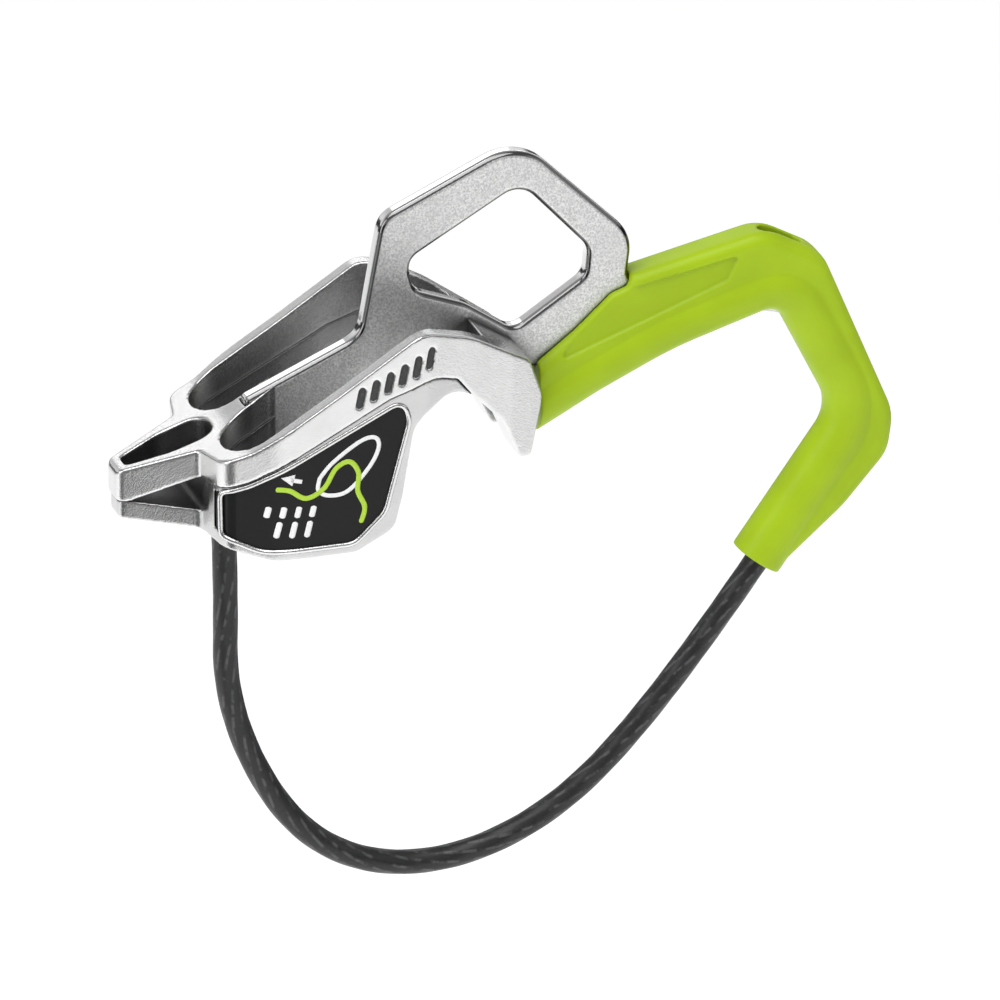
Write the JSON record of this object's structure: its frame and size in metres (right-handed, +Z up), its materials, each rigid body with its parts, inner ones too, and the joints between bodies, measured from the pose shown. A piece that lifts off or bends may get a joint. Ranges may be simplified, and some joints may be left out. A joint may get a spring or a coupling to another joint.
{
  "type": "rope descender",
  "caption": "Friction device for belaying and abseiling: steel body with rope slots and hooks, anchor ring, moulded release lever and a coated wire loop.",
  "frame": {"origin": "centre of the anchor ring's hole, in the middle plane", "axes": "+X from the nose to the lever, +Y from the label on the left cheek to the one on the right, +Z up along the slots' walls"},
  "size_m": [0.1162, 0.032, 0.1097],
  "materials": {
    "polished_steel": "polished stainless steel",
    "satin_steel": "tumbled stainless steel with polished edges",
    "label": "black film under a glossy clear layer",
    "lime_plastic": "lime green moulded plastic, softly glossy",
    "cable_coating": "smoky black plastic coating over stranded wire",
    "wire": "bright drawn wire"
  },
  "bodies": {
    "root": {"upper_frame": "polished_steel", "lower_shell": "polished_steel", "centre_plate": "satin_steel", "label_left": "label", "label_right": "label", "lever_grip": "lime_plastic", "cable_coating": "cable_coating", "wire_rope": "wire", "nose_sleeve": "wire", "grip_sleeve": "wire"}
  },
  "joints": []
}
